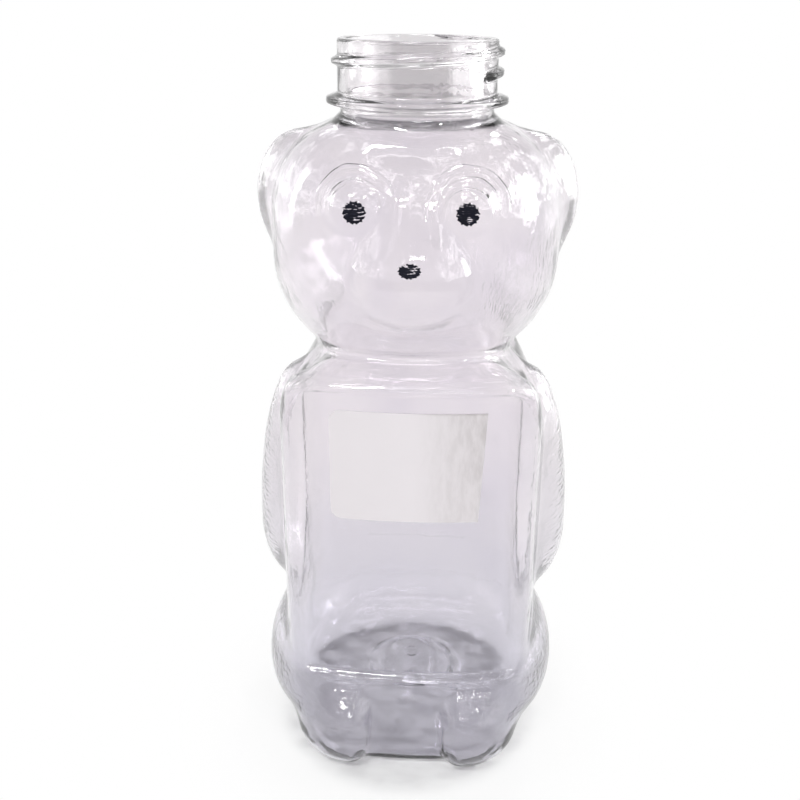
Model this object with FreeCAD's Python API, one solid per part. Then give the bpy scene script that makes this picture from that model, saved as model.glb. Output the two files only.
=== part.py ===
"""Bear-shaped clear squeeze bottle with a 38 mm screw neck, printed eyes and nose, and a paper sticker.

Millimetres. The origin is on the neck's axis at the surface the bottle stands on, +Z is up and the
bear looks towards -Y. The blown body is one loft: each station is the outline, at that height, of
rounded forms that melt into one another, and the cavity is the same loft set in by the wall.
"""
import FreeCAD
import Part
import math
import os

Vector = FreeCAD.Vector

# Heights, stacked from the ground up
TORSO_HEIGHT = 97.0
HEAD_HEIGHT = 51.5
NECK_HEIGHT = 16.5

# Walls
WALL = 0.6
BASE_WALL = 1.2

# Torso
TORSO_WIDTH = 65.6
TORSO_DEPTH = 64.0
TORSO_CORNER = 5.5
BACK_CORNER = 14.0
TORSO_BOW = 130.0
SIDE_BOW = 120.0
HEEL_ROUND = 12.0
HEEL_FLAT = 0.4
SHOULDER_ROUND = 25.0
SHOULDER_RISE = 3.0
FRONT_SHOULDER = 8.0
FRONT_EASE = 16.0
CHEST_ROUND = 6.0

# Head
HEAD_WIDTH = 65.0
HEAD_DEPTH = 58.5
HEAD_CORNER = 24.0
HEAD_BOW = 130.0
JAW_ROUND = 23.0
JAW_DROP = 1.5
CROWN_ROUND = 20.0
CROWN_RISE = 0.2
NAPE_MELT = 4.0

# Ears, whose stand-out is measured from the side of the head
EAR_STAND_OUT = 4.2
EAR_WIDTH = 20.0
EAR_DEPTH = 18.0
EAR_HEIGHT = 29.0
EAR_RISE = 33.6
EAR_BACK = 3.0
EAR_MELT = 3.5

# Snout and the ridge that runs from it up between the eyes
SNOUT_STAND_OUT = 5.5
SNOUT_WIDTH = 26.0
SNOUT_DEPTH = 20.0
SNOUT_HEIGHT = 20.0
SNOUT_RISE = 21.0
BRIDGE_STAND_OUT = 2.2
BRIDGE_WIDTH = 20.0
BRIDGE_DEPTH = 12.0
BRIDGE_HEIGHT = 26.0
BRIDGE_RISE = 29.0
FACE_MELT = 2.0

# Eye bosses
EYE_SPACING = 22.4
EYE_RISE = 36.5
EYE_BOSS = 13.0
EYE_STAND_OUT = 1.2

# Arms, which hang along the sides of the torso
ARM_STAND_OUT = 5.4
ARM_WIDTH = 21.0
ARM_DEPTH = 28.0
ARM_ABOVE = 41.0
ARM_BELOW = 18.0
ARM_RISE = 50.0
ARM_FORWARD = 2.0
ARM_MELT = 2.0

# Legs along the sides of the base, and the feet at their front ends
LEG_STAND_OUT = 3.4
LEG_WIDTH = 30.0
LEG_DEPTH = 54.0
LEG_HEIGHT = 31.0
LEG_RISE = 16.5
LEG_FORWARD = 6.0
LEG_MELT = 2.0
FOOT_GAP = 16.0
FOOT_STAND_OUT = 7.6
FOOT_WIDTH = 19.0
FOOT_DEPTH = 42.0
FOOT_HEIGHT = 20.0
FOOT_CORNER = 5.0
FOOT_SWEEP = 14.0
FOOT_HEEL = 12.0
FOOT_ROUND = 8.0
FOOT_MELT = 2.0

# Lap, the thicker front of the base below the front panel
LAP_STAND_OUT = 1.8
LAP_WIDTH = 46.0
LAP_DEPTH = 30.0
LAP_HEIGHT = 27.0
LAP_CORNER = 8.0
LAP_HEEL = 4.0
LAP_ROUND = 6.0

# Screw neck
NECK_OUTER = 34.8
NECK_BORE = 31.0
NECK_ROOT = 33.7
ROOT_STEP = 0.3
ROOT_MELT = 3.0
ROOT_LIFT = 1.5
RIM_ROUND = 0.7
BEAD_OUTER = 39.8
BEAD_DROP = 12.7
BEAD_THICKNESS = 3.2
BEAD_EDGE = 0.9

# Label panels, sunk in the front and the back of the torso
PANEL_WIDTH = 52.0
BACK_PANEL_WIDTH = 40.0
PANEL_HEIGHT = 70.8
PANEL_CORNER = 4.0
PANEL_RISE = 24.2
PANEL_SINK = 0.8

# Base
PUSH_UP_WIDTH = 28.0
PUSH_UP_RISE = 3.0
GATE_RING = 15.6
GATE_STEP = 0.8
GATE_WIDTH = 4.0

# Printed eyes and nose, whose ink lies just clear of the skin
PRINT = 0.1
INK_GAP = 0.1
EYE_PRINT = 4.9
NOSE_PRINT_WIDTH = 4.8
NOSE_PRINT_HEIGHT = 3.1
NOSE_RISE = 26.0

# Paper sticker on the front panel, held by a film of glue
GLUE = 0.05
STICKER_WIDTH = 34.0
STICKER_HEIGHT = 26.2
STICKER_CORNER = 2.4
STICKER_SLANT = 1.3
STICKER_DROP = 4.0
STICKER_SHIFT = -0.2
STICKER_THICKNESS = 0.15

# Stations and points of the loft
POINTS_ROUND = 80
STATION_STEP = 3.4
END_STATIONS = 6
ROOT_FINDING_STEPS = 26

HEAD_BASE = TORSO_HEIGHT
SHOULDER = HEAD_BASE + HEAD_HEIGHT
RIM = SHOULDER + NECK_HEIGHT
LOFT_TOP = SHOULDER + ROOT_LIFT
SIDE = TORSO_WIDTH / 2
FRONT = TORSO_DEPTH / 2
FACE = HEAD_DEPTH / 2
REACH = TORSO_WIDTH + HEAD_WIDTH + TORSO_DEPTH


def rounded_edge(first, second, turn):
    """Distance to the edge between two planes, both moved in by the radius that rounds it."""
    outside = math.hypot(max(first, 0), max(second, 0))
    return outside + min(max(first, second), 0) - turn


def rounded_block(x, y, z, plan, low, high):
    """Distance to an upright block: plan is its outline's distance, low and high are (height, radius)."""
    if 2 * z > low[0] + high[0]:
        ending, turn = z - high[0], high[1]
    else:
        ending, turn = low[0] - z, low[1]
    return rounded_edge(plan + turn, ending + turn, turn)


def egg(x, y, z, centre, radii, below=None):
    """Distance to an ellipsoid, close enough near its surface; below is its lower radius if it differs."""
    upright = below if below and z < centre[2] else radii[2]
    radii = (radii[0], radii[1], upright)
    unit = [(p - c) / r for p, c, r in zip((x, y, z), centre, radii)]
    reach = math.sqrt(sum(u * u for u in unit))
    slope = math.sqrt(sum((u / r) ** 2 for u, r in zip(unit, radii)))
    return reach * (reach - 1) / slope if slope else -min(radii)


def melt(first, second, radius):
    """The two forms joined by a soft hollow of about that radius."""
    overlap = max(radius - abs(first - second), 0) / radius
    return min(first, second) - overlap * overlap * radius / 4


def torso(x, y, z):
    """An upright block with bowed faces; its top corners are squarer at the front than over the arms."""
    bowed_x = x + y * y / (2 * SIDE_BOW)
    bowed_y = abs(y) + x * x / (2 * TORSO_BOW)
    corner = BACK_CORNER if y > 0 else TORSO_CORNER
    plan = rounded_edge(bowed_x - SIDE + corner, bowed_y - FRONT + corner, corner)
    top = HEAD_BASE + SHOULDER_RISE
    block = rounded_block(x, y, z, plan, (-HEEL_FLAT, HEEL_ROUND), (top, CHEST_ROUND))
    ease = min(max((y + FRONT) / FRONT_EASE, 0), 1)
    turn = FRONT_SHOULDER + (SHOULDER_ROUND - FRONT_SHOULDER) * ease * ease * (3 - 2 * ease)
    arch = rounded_edge(bowed_x - SIDE + turn, z - top + turn, turn)
    return max(block, arch)


def lap(x, y, z):
    """The thicker front of the base, below the front panel."""
    back = y + FRONT + LAP_STAND_OUT - LAP_DEPTH / 2
    deep = abs(back) + x * x / (2 * TORSO_BOW) - LAP_DEPTH / 2 + LAP_CORNER
    plan = rounded_edge(x - LAP_WIDTH / 2 + LAP_CORNER, deep, LAP_CORNER)
    return rounded_block(x, y, z, plan, (-HEEL_FLAT, LAP_HEEL), (LAP_HEIGHT, LAP_ROUND))


def foot(x, y, z):
    """A foot with a small corner beside the gap between the feet, and a wide sweep round to the leg."""
    inner = FOOT_GAP / 2 - x
    outer = x - FOOT_GAP / 2 - FOOT_WIDTH
    across, corner = (inner, FOOT_CORNER) if -inner < FOOT_CORNER else (outer, FOOT_SWEEP)
    toe = abs(y + FRONT + FOOT_STAND_OUT - FOOT_DEPTH / 2) - FOOT_DEPTH / 2
    plan = rounded_edge(across + corner, toe + corner, corner)
    return rounded_block(x, y, z, plan, (-HEEL_FLAT, FOOT_HEEL), (FOOT_HEIGHT, FOOT_ROUND))


def head(x, y, z):
    deep = abs(y) + x * x / (2 * HEAD_BOW) - FACE + HEAD_CORNER
    plan = rounded_edge(x - HEAD_WIDTH / 2 + HEAD_CORNER, deep, HEAD_CORNER)
    jaw = (HEAD_BASE - JAW_DROP, JAW_ROUND)
    crown = (SHOULDER + CROWN_RISE, CROWN_ROUND)
    return rounded_block(x, y, z, plan, jaw, crown)


def arm(x, y, z):
    centre = (SIDE + ARM_STAND_OUT - ARM_WIDTH / 2, -ARM_FORWARD, ARM_RISE)
    return egg(x, y, z, centre, (ARM_WIDTH / 2, ARM_DEPTH / 2, ARM_ABOVE), ARM_BELOW)


def leg(x, y, z):
    centre = (SIDE + LEG_STAND_OUT - LEG_WIDTH / 2, -LEG_FORWARD, LEG_RISE)
    return egg(x, y, z, centre, (LEG_WIDTH / 2, LEG_DEPTH / 2, LEG_HEIGHT / 2))


def ear(x, y, z):
    centre = (HEAD_WIDTH / 2 + EAR_STAND_OUT - EAR_WIDTH / 2, EAR_BACK, HEAD_BASE + EAR_RISE)
    return egg(x, y, z, centre, (EAR_WIDTH / 2, EAR_DEPTH / 2, EAR_HEIGHT / 2))


def bridge(x, y, z):
    centre = (0, BRIDGE_DEPTH / 2 - FACE - BRIDGE_STAND_OUT, HEAD_BASE + BRIDGE_RISE)
    return egg(x, y, z, centre, (BRIDGE_WIDTH / 2, BRIDGE_DEPTH / 2, BRIDGE_HEIGHT / 2))


def eye_boss(x, y, z):
    centre = (EYE_SPACING / 2, EYE_BOSS / 2 - FACE - EYE_STAND_OUT, HEAD_BASE + EYE_RISE)
    return egg(x, y, z, centre, (EYE_BOSS / 2, EYE_BOSS / 2, EYE_BOSS / 2))


def snout(x, y, z):
    centre = (0, SNOUT_DEPTH / 2 - FACE - SNOUT_STAND_OUT, HEAD_BASE + SNOUT_RISE)
    return egg(x, y, z, centre, (SNOUT_WIDTH / 2, SNOUT_DEPTH / 2, SNOUT_HEIGHT / 2))


def neck_root(x, y, z):
    return math.hypot(x, y) - NECK_ROOT / 2 - ROOT_STEP


BODY_FORMS = [(lap, LEG_MELT), (arm, ARM_MELT), (leg, LEG_MELT), (foot, FOOT_MELT)]
HEAD_FORMS = [
    (ear, EAR_MELT), (bridge, FACE_MELT), (eye_boss, FACE_MELT), (snout, FACE_MELT), (neck_root, ROOT_MELT),
]


def bear(x, y, z):
    """Distance from a point to the bear's skin, negative inside; the bear is alike on both sides."""
    x = abs(x)
    skin = melt(torso(x, y, z), head(x, y, z), NAPE_MELT)
    for form, radius in HEAD_FORMS if z > HEAD_BASE else BODY_FORMS:
        skin = melt(skin, form(x, y, z), radius)
    return skin


def skin_radius(angle, z, inset):
    """How far the skin, set in by that much, lies from the neck's axis at that angle and height."""
    low, high = 0.0, REACH
    for _ in range(ROOT_FINDING_STEPS):
        middle = (low + high) / 2
        if bear(middle * math.cos(angle), middle * math.sin(angle), z) < -inset:
            low = middle
        else:
            high = middle
    return (low + high) / 2


def outline(z, inset):
    """The bear's closed outline at that height, from the back round by the right to the front and on."""
    half = POINTS_ROUND // 2
    right = []
    for k in range(half + 1):
        angle = math.pi / 2 - math.pi * k / half
        radius = skin_radius(angle, z, inset)
        right.append(Vector(radius * math.cos(angle), radius * math.sin(angle), z))
    left = [Vector(-p.x, p.y, p.z) for p in reversed(right[1:-1])]
    curve = Part.BSplineCurve()
    knots = [k / POINTS_ROUND for k in range(POINTS_ROUND + 1)]
    curve.interpolate(Points=right + left, PeriodicFlag=True, Parameters=knots)
    return Part.Wire(curve.toShape())


def stations(low, high):
    """Heights for the outlines: close together where the heel and the crown turn under, even between."""
    turn = math.pi / 2 / END_STATIONS
    heel = [low + HEEL_ROUND * (1 - math.cos(k * turn)) for k in range(END_STATIONS)]
    crown = [high - HEEL_ROUND * (1 - math.cos(k * turn)) for k in range(END_STATIONS)]
    start, stop = low + HEEL_ROUND, high - HEEL_ROUND
    count = max(2, round((stop - start) / STATION_STEP))
    even = [start + (stop - start) * k / count for k in range(count + 1)]
    return heel + even + crown[::-1]


def blown_form(low, high, inset):
    return Part.makeLoft([outline(z, inset) for z in stations(low, high)], True, False)


def revolved(profile):
    """A solid turned about the neck's axis from (radius, height) points."""
    points = [Vector(radius, 0, z) for radius, z in profile]
    face = Part.Face(Part.makePolygon(points + points[:1]))
    return face.revolve(Vector(0, 0, 0), Vector(0, 0, 1), 360)


def neck_finish():
    """The screw neck's wall, solid inside, with its handling bead and rounded rim."""
    bead = RIM - BEAD_DROP
    root, wall, flange = NECK_ROOT / 2, NECK_OUTER / 2, BEAD_OUTER / 2
    half, edge = BEAD_THICKNESS / 2, BEAD_EDGE / 2
    return revolved([
        (0, SHOULDER - ROOT_LIFT),
        (root, SHOULDER - ROOT_LIFT),
        (root, bead - half),
        (flange, bead - edge),
        (flange, bead + edge),
        (wall, bead + half),
        (wall, RIM - RIM_ROUND),
        (wall - RIM_ROUND, RIM),
        (0, RIM),
    ])


def panel_outline(width, height, corner, slant=0.0):
    """A rectangle in the XZ plane, centred on X and standing on Z 0, its left corners rounded."""
    left, right = -width / 2, width / 2
    turn = corner * (1 - math.sqrt(0.5))
    edges = [
        Part.LineSegment(Vector(left + corner, 0, 0), Vector(right - slant, 0, 0)),
        Part.LineSegment(Vector(right - slant, 0, 0), Vector(right, 0, height)),
        Part.LineSegment(Vector(right, 0, height), Vector(left + corner, 0, height)),
        Part.Arc(
            Vector(left + corner, 0, height),
            Vector(left + turn, 0, height - turn),
            Vector(left, 0, height - corner),
        ),
        Part.LineSegment(Vector(left, 0, height - corner), Vector(left, 0, corner)),
        Part.Arc(Vector(left, 0, corner), Vector(left + turn, 0, turn), Vector(left + corner, 0, 0)),
    ]
    return Part.Wire([edge.toShape() for edge in edges])


def bowed_core(sink):
    """The upright cylinder whose front is the bowed front of the torso, sunk by that much."""
    axis_y = TORSO_BOW - FRONT + sink
    return Part.makeCylinder(TORSO_BOW, RIM, Vector(0, axis_y, 0))


def panel_cutter(width, grow):
    """What a label panel takes out of the front of the torso, or out of the cavity one wall further in."""
    half = panel_outline(width + 2 * grow, PANEL_HEIGHT + 2 * grow, PANEL_CORNER + grow)
    mirrored = half.mirror(Vector(0, 0, 0), Vector(1, 0, 0))
    slabs = [Part.Face(wire).extrude(Vector(0, -REACH, 0)) for wire in (half, mirrored)]
    block = slabs[0].common(slabs[1])
    block.translate(Vector(0, 0, PANEL_RISE - grow))
    return block.cut(bowed_core(PANEL_SINK + grow))


def both_panels(grow):
    back = panel_cutter(BACK_PANEL_WIDTH, grow).mirror(Vector(0, 0, 0), Vector(0, 1, 0))
    return [panel_cutter(PANEL_WIDTH, grow), back]


def push_up(lift):
    """The hollow under the base, with the stepped ring round the moulding gate."""
    rim, ring, gate = PUSH_UP_WIDTH / 2, GATE_RING / 2, GATE_WIDTH / 2
    return revolved([
        (0, -REACH),
        (rim + lift, -REACH),
        (rim + lift, lift),
        (ring + lift, PUSH_UP_RISE + lift),
        (ring, PUSH_UP_RISE + GATE_STEP + lift),
        (gate, PUSH_UP_RISE + GATE_STEP + lift),
        (gate / 2, PUSH_UP_RISE + lift),
        (0, PUSH_UP_RISE + lift),
    ])


def cavity():
    inside = blown_form(BASE_WALL, LOFT_TOP - WALL, WALL)
    inside = inside.cut(both_panels(WALL)).cut(push_up(BASE_WALL))
    bore = Part.makeCylinder(NECK_BORE / 2, NECK_HEIGHT + REACH, Vector(0, 0, SHOULDER - ROOT_LIFT))
    return inside.fuse(bore)


def bottle(skin):
    body = skin.cut(both_panels(0)).cut(push_up(0))
    return body.fuse(neck_finish()).cut(cavity())


def printed(stamp, skin):
    """Ink that a pad pressed on along Y leaves on the bear's face."""
    outside, inside = skin.copy(), skin.copy()
    outside.translate(Vector(0, -INK_GAP - PRINT, 0))
    inside.translate(Vector(0, -INK_GAP, 0))
    return stamp.common(outside).cut(inside)


def round_stamp(x, z, width, height):
    circle = Part.makeCircle(width / 2, Vector(0, 0, 0), Vector(0, 1, 0))
    shape = Part.Face(Part.Wire(circle)).extrude(Vector(0, -REACH, 0))
    stretch = FreeCAD.Matrix()
    stretch.scale(1, 1, height / width)
    shape = shape.transformGeometry(stretch)
    shape.translate(Vector(x, 0, z))
    return shape


def sticker():
    outline_wire = panel_outline(STICKER_WIDTH, STICKER_HEIGHT, STICKER_CORNER, STICKER_SLANT)
    block = Part.Face(outline_wire).extrude(Vector(0, -REACH, 0))
    bottom = PANEL_RISE + PANEL_HEIGHT - STICKER_DROP - STICKER_HEIGHT
    block.translate(Vector(STICKER_SHIFT, 0, bottom))
    back = PANEL_SINK - GLUE
    return block.common(bowed_core(back - STICKER_THICKNESS)).cut(bowed_core(back))


def main():
    os.makedirs("parts", exist_ok=True)
    skin = blown_form(0, LOFT_TOP, 0)
    eye_z = HEAD_BASE + EYE_RISE
    nose = round_stamp(0, HEAD_BASE + NOSE_RISE, NOSE_PRINT_WIDTH, NOSE_PRINT_HEIGHT)
    pieces = {
        "bottle": bottle(skin),
        "left_eye": printed(round_stamp(EYE_SPACING / 2, eye_z, EYE_PRINT, EYE_PRINT), skin),
        "right_eye": printed(round_stamp(-EYE_SPACING / 2, eye_z, EYE_PRINT, EYE_PRINT), skin),
        "nose": printed(nose, skin),
        "sticker": sticker(),
    }
    for name, shape in pieces.items():
        shape.exportStep(f"parts/{name}.step")
        print(name, "solids", len(shape.Solids), "valid", shape.isValid(), "volume", round(shape.Volume, 2))


main()
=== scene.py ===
"""Clear bear-shaped squeeze bottle with a screw neck, printed eyes and nose, and a blank paper sticker.

Metres, in the frame of the solid model: +Z is up, the bear looks towards -Y and the neck's axis is Z.
The bottle is one closed wall. Its skin is worked out from rounded forms that melt into one another.
"""
import math

import bmesh
import bpy
import numpy as np
from bpy.props import FloatProperty, FloatVectorProperty, IntProperty, PointerProperty
from mathutils import Matrix, Vector


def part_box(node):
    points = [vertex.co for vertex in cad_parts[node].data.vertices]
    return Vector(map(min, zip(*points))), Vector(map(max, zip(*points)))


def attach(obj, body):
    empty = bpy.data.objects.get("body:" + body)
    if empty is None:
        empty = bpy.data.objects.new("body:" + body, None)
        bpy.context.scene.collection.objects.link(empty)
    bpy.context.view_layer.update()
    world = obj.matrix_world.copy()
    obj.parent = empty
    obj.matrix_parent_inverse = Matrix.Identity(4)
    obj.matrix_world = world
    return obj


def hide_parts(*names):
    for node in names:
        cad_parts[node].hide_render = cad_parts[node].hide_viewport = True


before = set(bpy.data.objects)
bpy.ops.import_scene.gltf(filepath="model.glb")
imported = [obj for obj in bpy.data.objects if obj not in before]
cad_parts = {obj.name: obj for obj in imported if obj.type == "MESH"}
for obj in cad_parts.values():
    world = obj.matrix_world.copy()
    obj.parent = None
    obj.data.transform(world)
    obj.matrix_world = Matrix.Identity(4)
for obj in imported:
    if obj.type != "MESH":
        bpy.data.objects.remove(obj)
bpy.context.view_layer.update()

bl_info = {
    "name": "Clear Bear Bottle",
    "version": (1, 0, 0),
    "blender": (4, 5, 0),
    "location": "View3D > Sidebar > Bear Bottle",
    "description": "Builds a clear bear-shaped bottle, its prints, its sticker and a plain studio",
    "category": "Add Mesh",
}

BODY = "root"
PICTURE = 800
TINY = 1e-9
WELD = 2e-6
SOLVER_STEPS = 28

# Rows of the bottle's mesh: counts, and spacings in metres.
HEEL_ROWS = 14
RIM_ROWS = 5
FLAT_ROWS = 5
GATE_ROWS = (0.0, 0.0007, 0.0012, 0.0017, 0.0023, 0.0035, 0.0045)
RING_ROW, RING_EDGE, HOLLOW_ROW = 0.0003, 0.0012, 0.0012
NECK_ROOT_ROW, THREAD_ROW, BORE_ROW = 0.0005, 0.00027, 0.0013
PRINT_CELLS = 40
PAPER_STRIP = 0.001

# Soft ends are pairs (0 here, 1 there). Bearings are radians from straight up over an eye, turns are of the thread.
BROW_ENDS = (-1.1, -0.7), (2.0, 1.5)
TUFT_SHIFT, MOUTH_CURVE = 0.001, 20
LEAD_IN, RUN_OUT = 0.035, 0.12

# Lamps: place, width, depth and power in watts; all aim at the bottle's middle.
MIDDLE = (0, 0, 0.08)
LAMPS = {
    "left_window": ((-0.6, 0.15, 0.26), 0.10, 0.34, 0.3),
    "right_window": ((0.6, 0.1, 0.24), 0.2, 0.36, 1.3),
    "front_strip": ((-0.16, -0.4, 0.62), 0.16, 0.04, 1.2),
    "low_strip": ((0.1, -0.75, 0.5), 0.3, 0.02, 0.5),
    "spot": ((0.28, -0.36, 0.5), 0.05, 0.05, 0.7),
    "top": ((-0.05, 0.12, 0.8), 0.2, 0.1, 1.3),
    "back_spot": ((0.2, 0.5, 0.55), 0.07, 0.07, 0.7),
}
FLOOR_RADIUS, FLOOR_DROP = 3.0, 0.0002


def length(default, name, description):
    return FloatProperty(name=name, description=description, default=default, unit="LENGTH", precision=5)


def share(default, name, description):
    return FloatProperty(name=name, description=description, default=default, subtype="FACTOR", min=0, max=1)


def colour(default, name, description):
    return FloatVectorProperty(
        name=name, description=description, default=default, subtype="COLOR", size=3, min=0, max=1)


class TorsoSizes(bpy.types.PropertyGroup):
    """The torso, its two label panels and its base."""
    height: length(0.097, "Height", "Ground to the crease below the head")
    width: length(0.0656, "Width", "Across the torso without its arms")
    depth: length(0.064, "Depth", "Front to back of the torso")
    corner: length(0.0055, "Front corner", "Radius of the upright corners at the front")
    back_corner: length(0.014, "Back corner", "Radius of the upright corners at the back")
    bow: length(0.13, "Front bow", "Radius to which the front and the back are bowed")
    side_bow: length(0.12, "Side bow", "Radius to which the sides are bowed")
    heel: length(0.013, "Heel", "Radius where the walls turn under")
    heel_flat: length(0.0004, "Heel flat", "How far the heel's rounding runs past the ground")
    shoulder: length(0.025, "Shoulder", "Radius of the sloping shoulders")
    shoulder_rise: length(0.003, "Shoulder rise", "Top of the torso above the crease")
    front_shoulder: length(0.008, "Front shoulder", "Radius of the squarer top corners at the front")
    shoulder_soft: length(0.006, "Shoulder edge", "How softly the shoulders run into the torso's front")
    front_ease: length(0.02, "Front ease", "Depth over which those corners turn into the shoulders")
    chest: length(0.006, "Chest", "Radius at the top of the chest")
    back: length(0.02, "Back", "Radius at the top of the back")
    wall: length(0.00045, "Wall", "Thickness of the blown wall")
    base_wall: length(0.001, "Base wall", "Thickness of the base")
    panel_width: length(0.052, "Front panel width", "Across the sunk panel at the front")
    back_panel_width: length(0.04, "Back panel width", "Across the sunk panel at the back")
    panel_height: length(0.0716, "Panel height", "Height of both panels")
    panel_rise: length(0.0234, "Panel rise", "Lower edge of the panels above the ground")
    panel_corner: length(0.004, "Panel corner", "Radius of the panels' corners")
    panel_sink: length(0.0008, "Panel sink", "Depth of the front panel")
    back_sink: length(0.0002, "Back sink", "Depth of the back panel")
    fold: length(0.0003, "Fold", "Height of the two folds that run down the chest")
    panel_edge: length(0.0008, "Panel edge", "Radius that softens the panels' rims")
    push_up: length(0.028, "Push-up", "Across the hollow under the base")
    push_up_rise: length(0.0048, "Push-up rise", "Height of that hollow")
    gate_ring: length(0.0124, "Gate ring", "Across the ring round the moulding gate")
    gate_step: length(0.0004, "Gate step", "Step up inside that ring")
    gate: length(0.004, "Gate", "Across the nub that the gate leaves")


class LimbSizes(bpy.types.PropertyGroup):
    """Arms, legs, feet and lap; a stand-out is measured from the torso's side or front."""
    arm_stand_out: length(0.0054, "Arm stand-out", "How far an arm stands out")
    arm_width: length(0.021, "Arm width", "Across the arm's form")
    arm_depth: length(0.028, "Arm depth", "Front to back of the arm's form")
    arm_above: length(0.041, "Arm above", "Arm above its widest place")
    arm_below: length(0.018, "Arm below", "Arm below its widest place")
    arm_rise: length(0.05, "Arm rise", "Height of the arm's widest place")
    arm_forward: length(0.002, "Arm forward", "How far the arm lies forward")
    leg_stand_out: length(0.0034, "Leg stand-out", "How far a leg stands out")
    leg_width: length(0.03, "Leg width", "Across the leg's form")
    leg_depth: length(0.054, "Leg depth", "Front to back of the leg's form")
    leg_height: length(0.031, "Leg height", "Height of the leg's form")
    leg_rise: length(0.0165, "Leg rise", "Height of the leg's middle")
    leg_forward: length(0.006, "Leg forward", "How far the leg lies forward")
    foot_gap: length(0.016, "Foot gap", "Between the feet")
    foot_stand_out: length(0.0076, "Foot stand-out", "How far a foot stands out")
    foot_width: length(0.019, "Foot width", "Across a foot")
    foot_depth: length(0.042, "Foot depth", "Toe to the back of the foot's form")
    foot_height: length(0.02, "Foot height", "Ground to the top of a foot")
    foot_corner: length(0.005, "Foot corner", "Radius beside the gap")
    foot_sweep: length(0.014, "Foot sweep", "Radius of the outer corner")
    foot_heel: length(0.008, "Foot heel", "Radius where the foot turns under")
    foot_round: length(0.008, "Foot round", "Radius of the foot's top edge")
    lap_stand_out: length(0.001, "Lap stand-out", "How far the top of the lap stands out")
    lap_lean: length(0.0028, "Lap lean", "How much further the bottom of the lap stands out")
    lap_width: length(0.046, "Lap width", "Across the lap")
    lap_depth: length(0.03, "Lap depth", "Front to back of the lap's form")
    lap_height: length(0.0238, "Lap height", "Ground to the top of the lap")
    lap_corner: length(0.008, "Lap corner", "Radius of the lap's upright corners")
    lap_heel: length(0.0045, "Lap heel", "Radius where the lap turns under")
    lap_round: length(0.0015, "Lap round", "Radius of the lap's top edge")
    melt: length(0.002, "Limb melt", "How softly the limbs run into the torso")


class HeadSizes(bpy.types.PropertyGroup):
    """Head, ears and face; rises are measured from the crease below the head."""
    height: length(0.0515, "Height", "Crease to the foot of the neck")
    width: length(0.065, "Width", "Across the head without its ears")
    depth: length(0.0585, "Depth", "Front to back without the snout")
    corner: length(0.024, "Corner", "Radius of the upright corners")
    bow: length(0.13, "Bow", "Radius to which the face is bowed")
    jaw: length(0.023, "Jaw", "Radius under the jaw")
    jaw_drop: length(0.0015, "Jaw drop", "How far the jaw's form reaches below the crease")
    crown: length(0.02, "Crown", "Radius at the top of the head")
    crown_rise: length(0.0002, "Crown rise", "Top of the crown above the foot of the neck")
    nape: length(0.007, "Nape melt", "How softly the head runs into the torso at the front")
    nape_back: length(0.02, "Back melt", "How softly the head runs into the torso at the back")
    ear_stand_out: length(0.0042, "Ear stand-out", "How far an ear stands out from the head's side")
    ear_width: length(0.02, "Ear width", "Across the ear's form")
    ear_depth: length(0.018, "Ear depth", "Front to back of the ear's form")
    ear_height: length(0.029, "Ear height", "Height of the ear's form")
    ear_rise: length(0.0336, "Ear rise", "Middle of the ear")
    ear_back: length(0.003, "Ear back", "How far the ear lies behind the neck's axis")
    ear_hollow: length(0.0007, "Ear hollow", "Depth of the hollow in the front of the ear")
    snout_stand_out: length(0.0055, "Snout stand-out", "How far the snout stands out from the face")
    snout_width: length(0.026, "Snout width", "Across the snout")
    snout_depth: length(0.02, "Snout depth", "Front to back of the snout's form")
    snout_height: length(0.02, "Snout height", "Height of the snout")
    snout_rise: length(0.021, "Snout rise", "Middle of the snout")
    bridge_stand_out: length(0.0022, "Bridge stand-out", "How far the ridge between the eyes stands out")
    bridge_width: length(0.02, "Bridge width", "Across that ridge")
    bridge_depth: length(0.012, "Bridge depth", "Front to back of the ridge's form")
    bridge_height: length(0.026, "Bridge height", "Height of the ridge")
    bridge_rise: length(0.029, "Bridge rise", "Middle of the ridge")
    eye_spacing: length(0.0224, "Eye spacing", "Between the middles of the eyes")
    eye_rise: length(0.0365, "Eye rise", "Middle of the eyes")
    eye_boss: length(0.013, "Eye boss", "Across the dome that carries an eye")
    eye_stand_out: length(0.0012, "Eye stand-out", "How far that dome stands out from the face")
    brow_stand_out: length(0.0003, "Brow stand-out", "Height of the ridge over an eye")
    brow_radius: length(0.0083, "Brow radius", "Middle of the eye to the ridge over it")
    brow_breadth: length(0.0009, "Brow breadth", "Half breadth of the ridge over an eye")
    tuft_rise: length(0.0465, "Tuft rise", "Middle of the short ridge on the forehead")
    tuft_width: length(0.0085, "Tuft width", "Across that ridge")
    mouth_depth: length(0.0003, "Mouth depth", "Depth of the crease under the snout's tip")
    mouth_rise: length(0.0138, "Mouth rise", "Middle of the mouth's crease")
    mouth_width: length(0.02, "Mouth width", "Across the mouth's crease")
    melt: length(0.001, "Face melt", "How softly the face's forms run into the head")
    muzzle_melt: length(0.008, "Muzzle melt", "How softly the ridge between the eyes runs into the snout")
    chin_melt: length(0.009, "Chin melt", "How softly the underside of the snout runs into the chin")
    ear_melt: length(0.0035, "Ear melt", "How softly the ears run into the head")


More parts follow.
